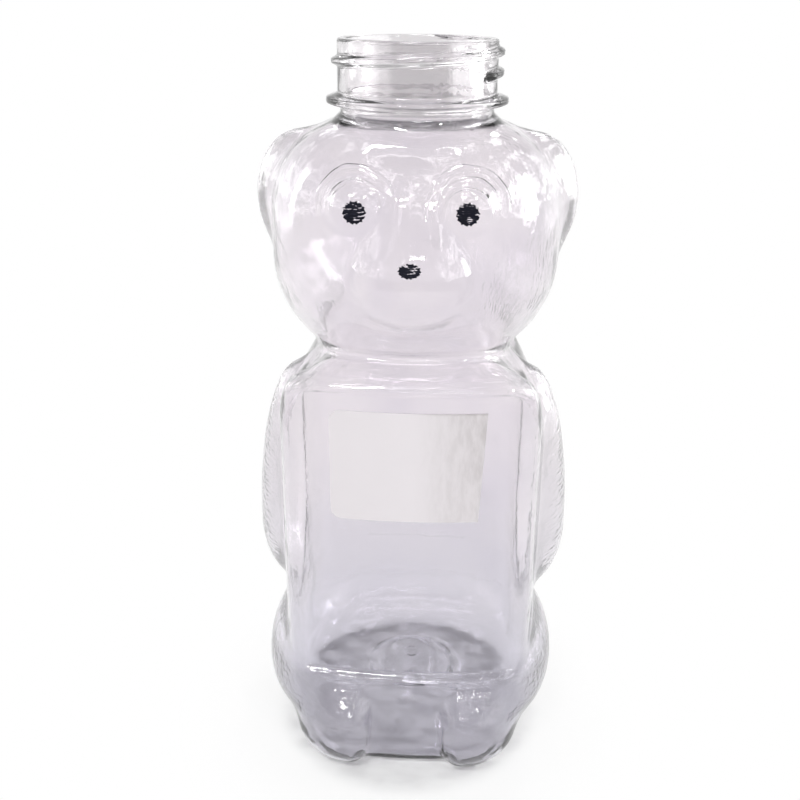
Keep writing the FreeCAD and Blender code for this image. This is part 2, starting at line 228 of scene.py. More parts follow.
class NeckSizes(bpy.types.PropertyGroup):
    """The screw neck; drops are measured from the rim."""
    height: length(0.0165, "Height", "Foot of the neck to the rim")
    outer: length(0.0348, "Outer", "Across the wall without its thread")
    bore: length(0.031, "Bore", "Across the opening")
    root: length(0.0337, "Root", "Across the neck below the bead")
    root_step: length(0.0003, "Root step", "Ledge at the neck's foot")
    root_melt: length(0.003, "Root melt", "How softly the neck runs into the head")
    rim_round: length(0.0007, "Rim round", "Radius of the rim's edges")
    bead_outer: length(0.0398, "Bead", "Across the handling bead")
    bead_drop: length(0.0127, "Bead drop", "Rim to the middle of the bead")
    bead_root: length(0.0032, "Bead root", "Thickness of the bead at its foot")
    bead_edge: length(0.0009, "Bead edge", "Thickness of the bead at its edge")
    thread_outer: length(0.0374, "Thread", "Across the thread's crest")
    thread_pitch: length(0.00423, "Pitch", "Rise of the thread in one turn")
    thread_root: length(0.0026, "Thread root", "Thickness of the thread at its foot")
    thread_crest: length(0.0008, "Thread crest", "Thickness of the thread at its crest")
    thread_drop: length(0.0073, "Thread drop", "Rim to the thread's lower end")
    thread_start: FloatProperty(
        name="Thread start", description="Where the thread's lower end lies, right of the front",
        default=math.radians(52), unit="ROTATION")
    thread_turns: FloatProperty(name="Turns", description="Turns of the thread", default=1.36)


class PrintSizes(bpy.types.PropertyGroup):
    """Ink and paper."""
    ink: length(0.0001, "Ink", "Thickness of the ink")
    ink_gap: length(0.0001, "Ink gap", "How far the ink lies off the skin")
    ragged: share(0.17, "Ragged edge", "How far the print's edge strays, as a share of its radius")
    glue: length(0.00005, "Glue", "Film between sticker and panel")
    paper: length(0.00015, "Paper", "Thickness of the sticker")
    paper_corner: length(0.0024, "Sticker corner", "Radius of the sticker's left corners")
    paper_slant: length(0.0013, "Sticker slant", "How far the right edge leans in at the bottom")


class MeshCounts(bpy.types.PropertyGroup):
    """How fine the bottle's mesh is."""
    around: IntProperty(name="Around", description="Faces round the neck's axis", default=256, min=32)
    crowding: share(0.35, "Crowding", "How much closer the faces lie at the front than at the back")
    inner_step: FloatProperty(
        name="Inner step", default=1.7, description="Row spacing inside the bottle, as a multiple of the outside")
    evening: IntProperty(
        name="Evening", description="How often the inside of the wall is evened out", default=5, min=0)


class Finishes(bpy.types.PropertyGroup):
    """Colours of the materials and the studio."""
    plastic: colour((0.90, 0.868, 0.893), "Plastic", "Tint of the clear plastic")
    plastic_haze: colour((0.85, 0.817, 0.858), "Plastic haze", "Tint where the plastic is thicker")
    # Darker and bluer towards the bottom.
    plastic_low: colour((0.755, 0.752, 0.805), "Plastic base", "Tint towards the thicker base")
    plastic_neck: colour((0.72, 0.70, 0.715), "Plastic neck", "Tint of the thicker neck")
    # Painted highlight: the paler colour of the sides and of two painted reflection bands on the neck.
    plastic_painted_highlight: colour((0.97, 0.95, 0.965), "Pale plastic", "Tint of the bottle's sides and of the neck's bands")
    # Partly thicker plastic, partly painted shade: the dark band at the neck's foot and the dark ring and spot at the
    # gate.
    plastic_thick_and_shade: colour((0.34, 0.33, 0.35), "Neck root", "Tint of the thick plastic at the neck's foot and gate")
    ink: colour((0.006, 0.006, 0.013), "Ink", "Print of the eyes and the nose")
    ink_worn: colour((0.035, 0.035, 0.05), "Thin ink", "Print where the ink is thin")
    paper: colour((0.86, 0.82, 0.845), "Paper", "Sticker")
    # Painted shade on the sticker, towards its slanted edge.
    paper_painted_shade: colour((0.56, 0.525, 0.53), "Greyed paper", "Sticker towards its slanted edge")
    floor: colour((0.9, 0.9, 0.9), "Floor", "Floor of the studio")


def sizes(name):
    return getattr(bpy.context.scene, "bear_" + name)


def rounded_edge(first, second, turn):
    """Distance to the edge between two planes, both moved in by the radius that rounds it."""
    outside = np.hypot(np.maximum(first, 0), np.maximum(second, 0))
    return outside + np.minimum(np.maximum(first, second), 0) - turn


def upright_block(plan, z, low, high):
    """Distance to an upright block: plan is its outline's distance, low and high are (height, radius)."""
    upper = 2 * z > low[0] + high[0]
    ending = np.where(upper, z - high[0], low[0] - z)
    turn = np.where(upper, high[1], low[1])
    return rounded_edge(plan + turn, ending + turn, turn)


def egg(point, centre, size, below=None):
    """Distance to an ellipsoid, close enough near its surface; below is its lower radius if it differs."""
    radii = [np.full_like(point[2], across / 2) for across in size]
    if below:
        radii[2] = np.where(point[2] < centre[2], below, radii[2])
    unit = [(p - c) / r for p, c, r in zip(point, centre, radii)]
    reach = np.sqrt(sum(u * u for u in unit))
    slope = np.sqrt(sum((u / r) ** 2 for u, r in zip(unit, radii)))
    return np.where(slope > TINY, reach * (reach - 1) / np.maximum(slope, TINY), -radii[0])


def melt(first, second, radius):
    """The two forms joined by a soft hollow of about that radius."""
    overlap = np.maximum(radius - abs(first - second), 0) / radius
    return np.minimum(first, second) - overlap * overlap * radius / 4


def carve(first, second, radius):
    """What the two forms share, with the edge between them softened to about that radius."""
    return -melt(-first, -second, radius)


def step(low, high, value):
    """0 below low, 1 above high and smooth between; low may be the larger."""
    t = np.clip((value - low) / (high - low), 0, 1)
    return t * t * (3 - 2 * t)


def span(value, rise, fall):
    """1 between two soft ends and 0 beyond them."""
    return step(*rise, value) * step(*fall, value)


def swell(distance, breadth):
    """A smooth bump that is 1 at distance 0 and fades over about that breadth."""
    return np.exp(-(distance / breadth) ** 2)


class BearForm:
    """Distance from points to the bear's skin, negative inside; the bear is alike on both sides."""

    def __init__(self):
        self.torso = sizes("torso")
        self.limbs = sizes("limbs")
        self.head = sizes("head")
        self.neck = sizes("neck")
        self.shoulder = self.torso.height + self.head.height
        self.rim = self.shoulder + self.neck.height
        self.side = self.torso.width / 2
        self.front = self.torso.depth / 2
        self.face = self.head.depth / 2

    def torso_block(self, x, y, z):
        t = self.torso
        bowed_x = x + y * y / (2 * t.side_bow)
        bowed_y = abs(y) + x * x / (2 * t.bow)
        corner = np.where(y > 0, t.back_corner, t.corner)
        plan = rounded_edge(bowed_x - self.side + corner, bowed_y - self.front + corner, corner)
        top = t.height + t.shoulder_rise
        block = upright_block(plan, z, (-t.heel_flat, t.heel), (top, np.where(y > 0, t.back, t.chest)))
        eased = step(-self.front, t.front_ease - self.front, y)
        turn = t.front_shoulder + (t.shoulder - t.front_shoulder) * eased
        arch = rounded_edge(bowed_x - self.side + turn, z - top + turn, turn)
        return carve(block, arch, t.shoulder_soft)

    def lap(self, x, y, z):
        s = self.limbs
        lean = s.lap_lean * np.clip(1 - z / s.lap_height, 0, 1)
        back = y + self.front + s.lap_stand_out + lean - s.lap_depth / 2
        deep = abs(back) + x * x / (2 * self.torso.bow) - s.lap_depth / 2 + s.lap_corner
        plan = rounded_edge(x - s.lap_width / 2 + s.lap_corner, deep, s.lap_corner)
        return upright_block(plan, z, (-self.torso.heel_flat, s.lap_heel), (s.lap_height, s.lap_round))

    def foot(self, x, y, z):
        s = self.limbs
        inner = s.foot_gap / 2 - x
        outer = x - s.foot_gap / 2 - s.foot_width
        near = -inner < s.foot_corner
        across = np.where(near, inner, outer)
        corner = np.where(near, s.foot_corner, s.foot_sweep)
        toe = abs(y + self.front + s.foot_stand_out - s.foot_depth / 2) - s.foot_depth / 2
        plan = rounded_edge(across + corner, toe + corner, corner)
        return upright_block(plan, z, (-self.torso.heel_flat, s.foot_heel), (s.foot_height, s.foot_round))

    def arm(self, point):
        s = self.limbs
        centre = (self.side + s.arm_stand_out - s.arm_width / 2, -s.arm_forward, s.arm_rise)
        return egg(point, centre, (s.arm_width, s.arm_depth, 2 * s.arm_above), s.arm_below)

    def leg(self, point):
        s = self.limbs
        centre = (self.side + s.leg_stand_out - s.leg_width / 2, -s.leg_forward, s.leg_rise)
        return egg(point, centre, (s.leg_width, s.leg_depth, s.leg_height))

    def head_block(self, x, y, z):
        h = self.head
        deep = abs(y) + x * x / (2 * h.bow) - self.face + h.corner
        plan = rounded_edge(x - h.width / 2 + h.corner, deep, h.corner)
        jaw = (self.torso.height - h.jaw_drop, h.jaw)
        return upright_block(plan, z, jaw, (self.shoulder + h.crown_rise, h.crown))

    def face_forms(self, point):
        """Domes that carry the eyes, and the muzzle: a ridge between the eyes that runs out to the snout."""
        h = self.head
        base = self.torso.height
        places = (
            (h.eye_spacing / 2, h.eye_stand_out, (h.eye_boss,) * 3, h.eye_rise),
            (0, h.bridge_stand_out, (h.bridge_width, h.bridge_depth, h.bridge_height), h.bridge_rise),
            (0, h.snout_stand_out, (h.snout_width, h.snout_depth, h.snout_height), h.snout_rise),
        )
        boss, bridge, snout = [
            egg(point, (x, size[1] / 2 - self.face - stand_out, base + rise), size)
            for x, stand_out, size, rise in places
        ]
        return boss, melt(bridge, snout, h.muzzle_melt)

    def ear(self, x, y, z):
        """A rounded flap whose front is hollowed."""
        h = self.head
        centre = (h.width / 2 + h.ear_stand_out - h.ear_width / 2, h.ear_back, self.torso.height + h.ear_rise)
        flap = egg((x, y, z), centre, (h.ear_width, h.ear_depth, h.ear_height))
        lobe = (x - centre[0] - h.ear_width / 4, z - centre[2])
        inside = np.hypot(lobe[0] / (h.ear_width / 4), lobe[1] / (h.ear_height / 2))
        hollow = h.ear_hollow * step(1.0, 0.3, inside) * step(h.ear_back, -h.ear_depth / 4, y)
        return flap + hollow

    def face_relief(self, x, y, z):
        """Height of the brows and the tuft, less the mouth's crease, on the front of the head."""
        h = self.head
        up = z - self.torso.height
        across, over = x - h.eye_spacing / 2, up - h.eye_rise
        bearing = np.arctan2(across, over)
        brow = swell(np.hypot(across, over) - h.brow_radius, h.brow_breadth) * span(bearing, *BROW_ENDS)
        tuft = swell(up - h.tuft_rise, h.brow_breadth)
        tuft = tuft * step(h.tuft_width / 2, h.tuft_width / 3, abs(across - TUFT_SHIFT))
        crease = swell(up - h.mouth_rise - MOUTH_CURVE * x * x, h.brow_breadth)
        mouth = h.mouth_depth * crease * step(h.mouth_width / 2, h.mouth_width / 3, x)
        return (h.brow_stand_out * (brow + tuft) - mouth) * step(0, -self.face / 2, y)

    def panels(self, x, y, z):
        """How far a point lies inside a label panel's recess, at the front or at the back."""
        t = self.torso
        width = np.where(y > 0, t.back_panel_width, t.panel_width)
        across = x - width / 2
        up = abs(z - t.panel_rise - t.panel_height / 2) - t.panel_height / 2
        plan = rounded_edge(across + t.panel_corner, up + t.panel_corner, t.panel_corner)
        return np.minimum(-plan, self.panel_floor(x, np.where(y > 0, t.back_sink, t.panel_sink)) + abs(y))

    def panel_floor(self, x, sink):
        """Where the floor of a panel of that depth lies on Y, at the front."""
        bow = self.torso.bow
        return sink - self.front + bow - np.sqrt(np.maximum(bow * bow - x * x, 0))

    def chest_folds(self, x, y, z):
        """Height of the folds that run down from the shoulders to the middle of the chest."""
        t = self.torso
        start, reach, inset, rearward, breadth = 0.004, 0.014, 0.0016, 0.0052, 0.0011
        along = (x - start) / reach
        line = y + self.front - inset - rearward * along
        ends = span(along, (-0.05, 0.25), (1.1, 0.8))
        return t.fold * swell(line, breadth) * ends * step(t.height - 0.004, t.height - 0.001, z)

    def distance(self, x, y, z):
        x = abs(x)
        point = (x, y, z)
        h, soft = self.head, self.limbs.melt
        skin = self.torso_block(x, y, z)
        for form in (self.lap(x, y, z), self.arm(point), self.leg(point), self.foot(x, y, z)):
            skin = melt(skin, form, soft)
        skin = carve(skin - self.chest_folds(x, y, z), self.panels(x, y, z), self.torso.panel_edge)
        nape = h.nape + (h.nape_back - h.nape) * step(0, 0.8 * self.face, y)
        skin = melt(skin, self.head_block(x, y, z), nape)
        skin = melt(skin, self.ear(x, y, z), h.ear_melt)
        boss, muzzle = self.face_forms(point)
        chin = step(h.snout_rise, h.snout_rise - h.snout_height / 2, z - self.torso.height)
        skin = melt(melt(skin, boss, h.melt), muzzle, h.melt + (h.chin_melt - h.melt) * chin)
        root = np.hypot(x, y) - self.neck.root / 2 - self.neck.root_step
        skin = np.where(z > self.torso.height, melt(skin, root, self.neck.root_melt), skin)
        return skin - np.where(z > self.torso.height, self.face_relief(x, y, z), 0)

    def radius(self, angle, z, inset):
        """How far the skin, set in by that much, lies from the neck's axis."""
        low = np.zeros_like(angle)
        high = np.full_like(angle, self.torso.width + self.torso.depth)
        for _ in range(SOLVER_STEPS):
            middle = (low + high) / 2
            inside = self.distance(middle * np.cos(angle), middle * np.sin(angle), z) < -inset
            low = np.where(inside, middle, low)
            high = np.where(inside, high, middle)
        return (low + high) / 2

    def front_of(self, x, z, clear):
        """Where the front of the bear, with that much clearance, lies on Y."""
        low = np.full_like(x, -self.torso.depth)
        high = np.zeros_like(x)
        for _ in range(SOLVER_STEPS):
            middle = (low + high) / 2
            inside = self.distance(x, middle, z) < clear
            high = np.where(inside, middle, high)
            low = np.where(inside, low, middle)
        return (low + high) / 2

    def push_up(self, radius):
        """Height of the hollow under the base, with the ring and the nub of the moulding gate."""
        t = self.torso
        ring, edge = t.gate_ring / 2, 0.0008
        cone = t.push_up_rise * step(t.push_up / 2, ring, radius)
        ledge = t.gate_step * step(ring + edge, ring - edge, radius)
        nub = t.gate_step * step(t.gate / 2, t.gate / 4, radius)
        return cone + ledge - nub

    def neck_radius(self, angle, z):
        """Outside of the neck, with its bead and its thread."""
        n = self.neck
        bead_z = self.rim - n.bead_drop
        plain = n.root / 2 + (n.outer - n.root) / 2 * step(bead_z - n.bead_edge, bead_z + n.bead_edge, z)
        flange = step(n.bead_root / 2, n.bead_edge / 2, abs(z - bead_z))
        bead = (n.bead_outer / 2 - plain) * flange
        turn = (angle + math.pi / 2 - n.thread_start) / (2 * math.pi)
        thread = np.zeros_like(angle)
        for lap in range(-2, 3):
            along = turn + lap
            middle = self.rim - n.thread_drop + n.thread_pitch * along
            ridge = step(n.thread_root / 2, n.thread_crest / 2, abs(z - middle))
            ends = span(along, (0, LEAD_IN), (n.thread_turns, n.thread_turns - RUN_OUT))
            thread = np.maximum(thread, ridge * ends)
        return plain + np.maximum(bead, (n.thread_outer - n.outer) / 2 * thread)


def evenly(low, high, spacing):
    count = max(1, round((high - low) / spacing))
    return [low + (high - low) * k / count for k in range(count)]


def body_heights(form, coarse):
    """Heights of the rows up the body, close together where the skin turns sharply."""
    t = form.torso
    edge = 0.0014
    low, high = t.panel_rise, t.panel_rise + t.panel_height
    jaw, face, brow = (t.height + up for up in (0.004, 0.014, 0.044))
    turns = range(0, HEEL_ROWS, 2 if coarse > 1 else 1)
    heel = [t.heel * (1 - math.cos(k * math.pi / 2 / HEEL_ROWS)) for k in turns]
    stretches = (
        (t.heel, low - edge, 0.0011), (low - edge, low + edge, 0.0004), (low + edge, high - edge, 0.00115),
        (high - edge, jaw, 0.0004), (jaw, face, 0.0010), (face, brow, 0.0008),
        (brow, form.shoulder + 0.0006, 0.0006),
    )
    return heel + [z for start, stop, gap in stretches for z in evenly(start, stop, gap * coarse)]


def evened(radius, times):
    """The rows of a closed skin with their neighbours blended in."""
    own, above, beside = 0.4, 0.15, 0.075
    ring = radius[:, :-1]
    for _ in range(times):
        rows = np.vstack([ring[:1], ring[:-1]]) + np.vstack([ring[1:], ring[-1:]])
        columns = sum(np.roll(ring, turn, 1) for turn in (-2, -1, 1, 2))
        ring = own * ring + above * rows + beside * columns
    return np.hstack([ring, ring[:, :1]])


def bottle_rows(form, angle, counts):
    """Radius and height of every row, from under the base, up the outside, down the bore and inside."""
    t, n = form.torso, form.neck
    radii, heights = [], []

    def add(radius, height):
        radii.append(np.broadcast_to(radius, angle.shape))
        heights.append(np.broadcast_to(height, angle.shape))

    def add_base(lift, order):
        flat = t.push_up / 2 + lift
        rim = form.radius(angle, np.full_like(angle, lift), t.wall if lift else 0)
        ring = t.gate_ring / 2
        hollow = [*GATE_ROWS, *(ring + k * RING_ROW for k in range(-3, 4))]
        hollow += evenly(ring + RING_EDGE, flat, HOLLOW_ROW)
        rows = [(r, form.push_up(r) + lift) for r in hollow]
        rows += [(flat + (rim - flat) * k / FLAT_ROWS, lift) for k in range(FLAT_ROWS)]
        for radius, height in rows[::order]:
            add(radius, height)

    def add_body(coarse, inset, low, order):
        levels = np.array([z for z in body_heights(form, coarse) if z >= low])
        around, up = np.meshgrid(angle, levels)
        found = form.radius(around, up, inset)
        if inset:
            thick, thin = (form.radius(around, up, part * inset) for part in (1.5, 0.4))
            soft = np.clip(evened(found, counts.evening), thick, thin)
            top = form.shoulder
            found = found + span(up, (t.heel, 1.4 * t.heel), (top - 0.004, top - 0.012)) * (soft - found)
        for k in range(len(levels))[::order]:
            add(found[k], levels[k])

    add_base(0, 1)
    add_body(1, 0, 0, 1)
    foot, bead = form.shoulder + 0.0012, form.rim - n.bead_drop
    shoulder = form.rim - n.rim_round
    under = bead - n.bead_root / 2
    for z in evenly(foot, under, NECK_ROOT_ROW) + evenly(under, shoulder, THREAD_ROW):
        add(form.neck_radius(angle, z), z)
    for wall, inward, order in ((n.outer / 2, -1, 1), (n.bore / 2, 1, -1)):
        for k in range(RIM_ROWS + 1)[::order]:
            bend = k * math.pi / 2 / RIM_ROWS
            add(wall + inward * n.rim_round * (1 - math.cos(bend)), shoulder + n.rim_round * math.sin(bend))
    for z in evenly(form.shoulder + t.wall, shoulder, BORE_ROW)[::-1]:
        add(n.bore / 2, z)
    add_body(counts.inner_step, t.wall, t.base_wall, -1)
    add_base(t.base_wall, -1)
    return np.array(radii), np.array(heights)


def wrap_grid(bm, points):
    """Moves the vertices of a new grid to points[row, column], joins its seam and closes its poles."""
    rows, columns, _ = points.shape
    made = bmesh.ops.create_grid(bm, x_segments=columns - 1, y_segments=rows - 1, size=0.5)
    for vert, place in zip(made["verts"], points.reshape(-1, 3)):
        vert.co = place
    bmesh.ops.remove_doubles(bm, verts=bm.verts, dist=WELD)
    bmesh.ops.recalc_face_normals(bm, faces=bm.faces)


def thicken(bm, thickness):
    """Gives a sheet that lies on the skin its thickness, towards the front."""
    made = bmesh.ops.extrude_face_region(bm, geom=bm.faces[:])
    front = [item for item in made["geom"] if isinstance(item, bmesh.types.BMVert)]
    bmesh.ops.translate(bm, verts=front, vec=(0, -thickness, 0))
    bmesh.ops.recalc_face_normals(bm, faces=bm.faces)


def finished(bm, name, node, material):
    """A smooth-shaded object made from the bmesh, which stands for a node of the frame."""
    mesh = bpy.data.meshes.new(name)
    bm.to_mesh(mesh)
    bm.free()
    mesh.shade_smooth()
    mesh.materials.append(material)
    piece = bpy.data.objects.new(name, mesh)
    bpy.context.scene.collection.objects.link(piece)
    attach(piece, BODY)
    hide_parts(node)
    return piece


class Shade:
    """A shader socket that takes part in expressions: each operator on it adds its Math node."""

    def __init__(self, tree, socket=None):
        self.tree = tree
        self.socket = socket

    def node(self, kind, settings=None, inputs=None, output=0):
        """A new node's output, or a list of them where output names several."""
        made = self.tree.nodes.new(kind)
        for key, value in (settings or {}).items():
            setattr(made, key, value)
        for key, value in (inputs or {}).items():
            if isinstance(value, Shade):
                self.tree.links.new(value.socket, made.inputs[key])
            else:
                made.inputs[key].default_value = value
        if isinstance(output, tuple):
            return [Shade(self.tree, made.outputs[key]) for key in output]
        return Shade(self.tree, made.outputs[output] if made.outputs else None)

    def maths(self, operation, first, second):
        return self.node("ShaderNodeMath", {"operation": operation}, {0: first, 1: second})

    def __add__(self, other):
        return self.maths("ADD", self, other)

    def __sub__(self, other):
        return self.maths("SUBTRACT", self, other)

    def __rsub__(self, other):
        return self.maths("SUBTRACT", other, self)

    def __mul__(self, other):
        return self.maths("MULTIPLY", self, other)

    def __gt__(self, other):
        return self.maths("GREATER_THAN", self, other)

    __radd__ = __add__
    __rmul__ = __mul__

    def most(self, other):
        return self.maths("MAXIMUM", self, other)

    def size(self):
        return self.maths("ABSOLUTE", self, 0.0)

    def within(self, low, high):
        """0 at low, 1 at high and smooth between."""
        return self.node(
            "ShaderNodeMapRange", {"interpolation_type": "SMOOTHSTEP"},
            {"Value": self, "From Min": low, "From Max": high})

    def span(self, rise, fall):
        """1 between two soft ends and 0 beyond them."""
        return self.within(*rise) * self.within(*fall)

    def reach(self, point):
        """Distance of a vector from that point."""
        return self.node("ShaderNodeVectorMath", {"operation": "DISTANCE"}, {0: self, 1: point}, 1)

    def parts(self):
        """X, Y and Z of a vector."""
        return self.node("ShaderNodeSeparateXYZ", {}, {0: self}, (0, 1, 2))

    def between(self, first, second):
        """The colour that lies that far from the first colour to the second."""
        return self.node("ShaderNodeMix", {"data_type": "RGBA"}, {0: self, 6: first, 7: second}, 2)


def new_material(name):
    """A material with a cleared tree, its Shade, and the object's own coordinates as (vector, x, y, z)."""
    material = bpy.data.materials.new(name)
    material.use_nodes = True
    tree = material.node_tree
    tree.nodes.clear()
    shade = Shade(tree)
    place = shade.node("ShaderNodeTexCoord", output="Object")
    return material, shade, (place, *place.parts())


def stretched(place, scale):
    return place.node("ShaderNodeMapping", {}, {"Vector": place, "Scale": scale})


def noise(place, scale, detail=3.0, roughness=0.5):
    return place.node(
        "ShaderNodeTexNoise", {}, {"Vector": place, "Scale": scale, "Detail": detail, "Roughness": roughness})


def bump(shade, strength, depth, height, inputs=None):
    return shade.node("ShaderNodeBump", {}, {
        "Strength": strength, "Distance": depth, "Height": height, **(inputs or {})})


def principled(shade, inputs):
    surface = shade.node("ShaderNodeBsdfPrincipled", {}, inputs)
    shade.node("ShaderNodeOutputMaterial", {}, {"Surface": surface})


def opaque(tone):
    return (*tone, 1)


def fur_masks(form, x, y, z):
    """Where the mould's strokes show: across the arms, on feet and legs, and down the cheeks and the forehead."""
    side, up = x.size(), z - form.torso.height
    arms = side.within(form.side - 0.0015, form.side + 0.0012) * z.span((0.032, 0.040), (0.094, 0.086))
    feet = z.span((0.010, 0.015), (0.026, 0.021)) * y.within(0.0, -0.012) * side.within(0.007, 0.012)
    legs = 0.9 * side.within(0.029, 0.033) * z.within(0.034, 0.026)
    front = y.within(-0.008, -0.016)
    cheeks = x.within(0.010, 0.014).most(0.3 * x.within(-0.012, -0.016)) * side.within(0.031, 0.025)
    cheeks = cheeks * up.span((0.011, 0.015), (0.034, 0.028))
    brow = x.span((0.001, 0.006), (0.026, 0.018)) * up.within(0.036, 0.041)
    return arms, feet.most(legs), (cheeks + 0.6 * brow) * front


def face_lines(form, place, z):
    """Height of the fine raised lines round the eyes: each eye has its side, the arcs' lower end and their radii."""
    h = form.head
    flat = stretched(place, (1.0, 0.0, 1.0))
    eyes = (-1, 0.0015, (0.0083, 0.0055)), (1, -0.002, (0.0083, 0.0062, 0.0045))
    stray, breadth, fade = 0.002, 0.0005, 0.003
    lines = 0.0
    for side, low, radii in eyes:
        eye = (side * h.eye_spacing / 2, 0, form.torso.height + h.eye_rise)
        reach = flat.reach(eye) + stray * noise(place, 160.0, 1.0) - stray / 2
        above = z.within(eye[2] + low, eye[2] + low + fade)
        for radius in radii:
            lines = lines + (reach - radius).size().within(breadth, 0.0) * above
    return lines


def plastic_tint(form, place, x, y, z, cloud):
    """Tint of the plastic: cloudy, darker and bluer low down, greyer in the neck, dark at the neck's foot from
    thicker plastic and painted shade, with painted shade round the gate.

    It is painted paler at the sides, as a painted highlight, and in two upright bands on the neck that are painted
    reflections.
    """
    finish = sizes("finish")
    side, up = x.size(), z - form.shoulder
    neck = up.within(0.0, 0.003)
    gate = stretched(place, (1.0, 1.0, 0.0)).reach((0, 0, 0))
    # Painted shade: a dark ring round the moulding gate, darker towards the back, and a dark spot on the gate.
    ring = (gate - form.torso.gate_ring / 2).size().within(0.0016, 0.0003) * (0.12 + 0.2 * y.within(-0.004, 0.006))
    layers = (
        (cloud.within(0.35, 0.7), finish.plastic_haze),
        # Darker and bluer below about 75 mm, most at the base.
        (0.75 * z.within(0.075, 0.012), finish.plastic_low),
        # Painted highlight: the sides are paler above the feet.
        (0.5 * side.within(0.025, 0.032) * z.within(0.006, 0.02), finish.plastic_painted_highlight),
        (neck, finish.plastic_neck),
        # Painted reflections: two upright pale bands on the neck.
        (side.span((0.0065, 0.0085), (0.0162, 0.0148)) * neck, finish.plastic_painted_highlight),
        # Thicker plastic and painted shade: a dark band in the crease at the neck's foot.
        (up.span((-0.0012, 0.0), (0.0016, 0.0004)), finish.plastic_thick_and_shade),
        (ring.most(0.16 * gate.within(0.0024, 0.0006)) * z.within(0.007, 0.006), finish.plastic_thick_and_shade),
    )
    tint = opaque(finish.plastic)
    for mask, tone in layers:
        tint = mask.between(tint, opaque(tone))
    return tint


def clear_plastic(form):
    """Clear blown plastic: rippled, lightly scuffed, with the mould's strokes.

    Alpha lies a little below 1 at the sides and the nape, where the clear wall alone draws its lines too dark.
    """
    material, shade, (place, x, y, z) = new_material("clear_plastic")
    side = x.size()
    cloud = noise(place, 45.0, 2.0)
    scuffs = noise(stretched(place, (1.0, 1.0, 0.25)), 900.0, 4.0, 0.65).within(0.6, 0.85)
    ripple = noise(place, 60.0, 2.0, 0.4) + 0.11 * noise(place, 210.0, 2.0, 0.5)
    ripple = ripple * (1 + 0.8 * y.within(0.0, 0.02) * z.within(0.07, 0.04))
    arms, feet, cheeks = fur_masks(form, x, y, z)
    across = noise(stretched(place, (0.35, 0.35, 1.0)), 900.0, 1.0)
    lumps = noise(stretched(place, (1.0, 1.0, 1.4)), 330.0, 3.0, 0.6)
    down = noise(stretched(place, (1.0, 1.0, 0.5)), 1000.0, 1.0)
    lines = face_lines(form, place, z) * y.within(-0.01, -0.02)
    strokes = across * arms + 3.0 * lumps * feet + down * cheeks + 1.6 * lines
    nape = side.within(0.018, 0.023) * z.span((0.092, 0.097), (0.113, 0.107))
    principled(shade, {
        "Base Color": plastic_tint(form, place, x, y, z, cloud),
        "Roughness": 0.025 + 0.05 * scuffs + 0.03 * cloud,
        "Alpha": 1 - 0.12 * side.within(0.025, 0.031) - 0.35 * nape,
        "Normal": bump(shade, 0.6, 0.00016, strokes, {"Normal": bump(shade, 0.55, 0.0012, ripple)}),
        "IOR": 1.57, "Transmission Weight": 1.0,
    })
    return material


def printed_ink():
    """Black ink laid in short dashes, with specks where it missed the skin."""
    finish = sizes("finish")
    material, shade, (place, *_) = new_material("printed_ink")
    dashes = noise(stretched(place, (0.4, 0.4, 1.7)), 1500.0, 2.0, 0.6)
    thin = dashes.within(0.5, 0.66)
    tone = thin.between(opaque(finish.ink), opaque(finish.ink_worn))
    cover = 1 - (dashes > 0.615)
    principled(shade, {
        "Base Color": tone, "Roughness": 0.35 + 0.3 * thin, "Alpha": cover,
        "Normal": bump(shade, 0.5, 0.00008, 1 - thin), "Specular IOR Level": 0.12})
    return material


def sticker_paper():
    """White paper with a fine grain and mottle, with painted shade in streaks towards its slanted edge and its top,
    and a painted shadow along its top edge.
    """
    finish = sizes("finish")
    low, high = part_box("sticker")
    material, shade, (place, x, _, z) = new_material("sticker_paper")
    fibres = noise(stretched(place, (1.0, 1.0, 0.6)), 2600.0, 4.0, 0.7)
    mottle = noise(place, 170.0, 3.0)
    streaks = noise(stretched(place, (1.0, 1.0, 0.3)), 700.0, 3.0, 0.6).within(0.3, 0.75)
    # Painted shade: greyer towards the slanted right edge, and towards the top there, in streaks.
    right = 0.3 * x.within(0.0, 0.011) + 0.12 * x.within(0.010, high.x)
    right = right + 0.2 * z.within(low.z, high.z) * x.within(0.006, high.x)
    # Painted shadow along the right part of the top edge.
    edge = x.within(0.0, 0.006) * z.within(high.z - 0.0006, high.z - 0.0001)
    # Painted shade and shadow, with the paper's own mottle.
    grey = right * (0.6 + 0.8 * streaks) + 0.06 * mottle + 0.35 * edge
    tone = (grey + 0.05 * fibres).between(opaque(finish.paper), opaque(finish.paper_painted_shade))
    principled(shade, {
        "Base Color": tone, "Roughness": 0.75 + 0.15 * fibres, "Normal": bump(shade, 0.35, 0.00006, fibres)})
    return material


class BEAR_OT_bottle(bpy.types.Operator):
    """Blown bottle: one closed wall with its screw neck, panels, limbs, face and base"""
    bl_idname = "bear.bottle"
    bl_label = "Bottle"

    def execute(self, context):
        form, counts = BearForm(), sizes("counts")
        turn = np.linspace(0, 2 * math.pi, counts.around + 1)
        angle = math.pi / 2 + turn + counts.crowding * np.sin(turn)
        radius, height = bottle_rows(form, angle, counts)
        bm = bmesh.new()
        wrap_grid(bm, np.stack([radius * np.cos(angle), radius * np.sin(angle), height], -1))
        finished(bm, "clear_bottle", "bottle", clear_plastic(form))
        return {"FINISHED"}


